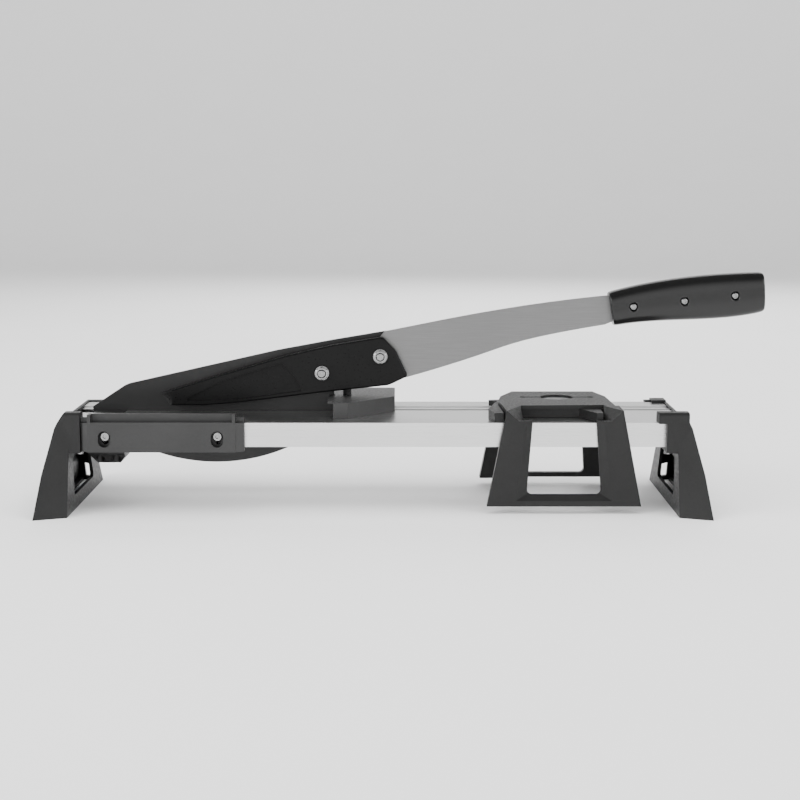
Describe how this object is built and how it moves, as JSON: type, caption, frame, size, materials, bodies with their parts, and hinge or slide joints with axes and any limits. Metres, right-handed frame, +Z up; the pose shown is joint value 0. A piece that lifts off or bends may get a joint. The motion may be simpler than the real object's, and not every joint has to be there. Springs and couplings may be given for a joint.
{
  "type": "lever floor tile cutter",
  "caption": "Bench lever cutter for soft floor tiles and planks: a long-handled curved blade shears through a slotted metal table on splayed feet, with a sliding side support.",
  "frame": {"origin": "on the floor, under the middle of the whole tool's length and depth", "axes": "+X along the table from the pivot end to the handle end, +Y from the user's side to the back, +Z up"},
  "size_m": [0.6058, 0.18, 0.1935],
  "materials": {
    "rail_aluminium": "brushed and clear anodised",
    "tool_steel": "ground",
    "lever_steel": "brushed lengthways",
    "fastener_steel": "bright zinc plated",
    "coated_steel": "dark non-stick coating",
    "block_metal": "dark satin paint",
    "foot_plastic": "fine spark-eroded grain",
    "cover_plastic": "satin moulded",
    "grip_plastic": "satin moulded",
    "bumper_rubber": "matt",
    "bush_brass": "turned"
  },
  "bodies": {
    "root": {"front_rail": "rail_aluminium", "rear_rail": "rail_aluminium", "lower_blade": "tool_steel", "lower_blade_screws": "fastener_steel", "left_foot": "foot_plastic", "right_foot": "foot_plastic", "foot_screws": "fastener_steel", "pivot_block": "block_metal", "pivot_block_screws": "fastener_steel", "pivot_pin": "tool_steel", "pivot_washers": "fastener_steel", "guide_screws": "fastener_steel", "stop_block": "foot_plastic", "stop_block_screws": "fastener_steel", "stop_block_clamp": "tool_steel", "lever_bumper": "bumper_rubber"},
    "lever": {"blade": "coated_steel", "pivot_bush": "bush_brass", "lever_arm": "lever_steel", "front_cover": "cover_plastic", "rear_cover": "cover_plastic", "lever_bolts": "fastener_steel", "lever_nuts": "fastener_steel", "lever_washers": "fastener_steel", "front_handle_scale": "grip_plastic", "rear_handle_scale": "grip_plastic", "handle_screws": "fastener_steel", "handle_nuts": "fastener_steel"},
    "guide": {"guide_bracket": "foot_plastic"},
    "support": {"support_frame": "foot_plastic", "support_saddle": "foot_plastic", "lock_bar": "tool_steel"},
    "lock": {"lock_disc": "block_metal", "lock_screw": "fastener_steel"}
  },
  "joints": [
    {"name": "lever_hinge", "type": "hinge", "parent": "root", "child": "lever", "pos_m": [-0.256, 0.0115, 0.06], "axis": [0, -1, 0], "range_deg": [0, 60]},
    {"name": "guide_height", "type": "slide", "parent": "root", "child": "guide", "axis": [0, 0, 1], "range_m": [0, 0.004]},
    {"name": "support_slide", "type": "slide", "parent": "root", "child": "support", "axis": [1, 0, 0], "range_m": [-0.07, 0.02]},
    {"name": "lock_turn", "type": "hinge", "parent": "support", "child": "lock", "pos_m": [0.1284, 0.0121, 0.0825], "axis": [0, 0, -1], "range_deg": [0, 180]}
  ]
}
